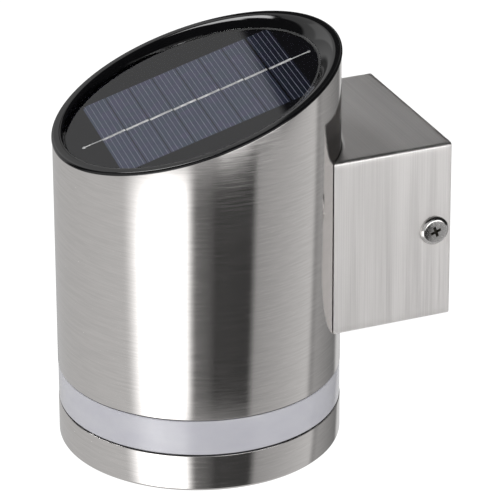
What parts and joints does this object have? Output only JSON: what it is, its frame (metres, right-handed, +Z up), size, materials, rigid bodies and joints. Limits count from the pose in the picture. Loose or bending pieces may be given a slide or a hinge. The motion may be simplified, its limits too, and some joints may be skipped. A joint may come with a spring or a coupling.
{
  "type": "solar fence light",
  "caption": "Solar fence light: a slant-cut brushed steel tube with a solar panel on top and a lit band near its foot, on a square arm that screws to a wall or fence.",
  "frame": {"origin": "middle of the arm's end face, where the wall plate lies on the wall", "axes": "+Y points into the wall, +Z is up, and +X is to the right when facing the wall"},
  "size_m": [0.0764, 0.1002, 0.111],
  "materials": {
    "tube_steel": "fine circumferential brushing",
    "arm_steel": "fine brushing along the arm's height",
    "bright_screws": "polished",
    "zinc_steel": "dull zinc plate",
    "black_gloss": "polished moulding",
    "black_plastic": "fine moulded grain",
    "white_plastic": "satin",
    "frosted_ring": "frosted, translucent",
    "clear_resin": "clear casting",
    "solar_cell": "crystalline silicon with thin printed lines",
    "tab_ribbon": "tinned",
    "panel_black": "dark solder mask",
    "board_green": "green solder mask",
    "board_white": "white solder mask",
    "chip_black": "moulded package",
    "ferrite": "ferrite with a copper winding",
    "cap_sleeve": "shrink sleeve",
    "nickel": "nickel plate",
    "battery_sleeve": "shrink sleeve",
    "black_rubber": "smooth",
    "red_wire": "insulation",
    "blue_wire": "insulation",
    "black_wire": "insulation",
    "diode": "phosphor over a white package"
  },
  "bodies": {
    "lamp": {"tube_body": "tube_steel", "solar_bezel": "black_gloss", "panel_seal": "black_rubber", "panel_board": "panel_black", "solar_cells": "solar_cell", "cell_ribbons": "tab_ribbon", "panel_resin": "clear_resin", "panel_leads": "red_wire", "chassis": "black_plastic", "control_board": "board_green", "board_screws": "bright_screws", "charge_chip": "chip_black", "choke_coil": "ferrite", "board_capacitor": "cap_sleeve", "contact_plates": "nickel", "battery_left": "battery_sleeve", "battery_right": "battery_sleeve", "battery_springs": "nickel", "battery_leads": "red_wire", "led_board": "board_white", "leds": "diode", "led_leads": "blue_wire", "reflector": "white_plastic", "light_ring": "frosted_ring", "upper_gasket": "black_rubber", "lower_gasket": "black_rubber", "base_skirt": "tube_steel", "base_plate": "black_plastic", "base_screws": "bright_screws", "battery_door": "black_plastic", "door_seal": "black_rubber", "door_screws": "bright_screws", "switch_body": "zinc_steel", "switch_leads": "black_wire", "arm_box": "arm_steel", "arm_saddle": "zinc_steel", "arm_bolts": "bright_screws", "arm_nuts": "zinc_steel", "wall_plate": "zinc_steel", "flange_nuts": "zinc_steel", "side_screws": "bright_screws"},
    "switch": {"switch_slide": "white_plastic"}
  },
  "joints": [
    {"name": "switch_travel", "type": "slide", "parent": "lamp", "child": "switch", "axis": [1, 0, 0], "range_m": [0, 0.003]}
  ]
}
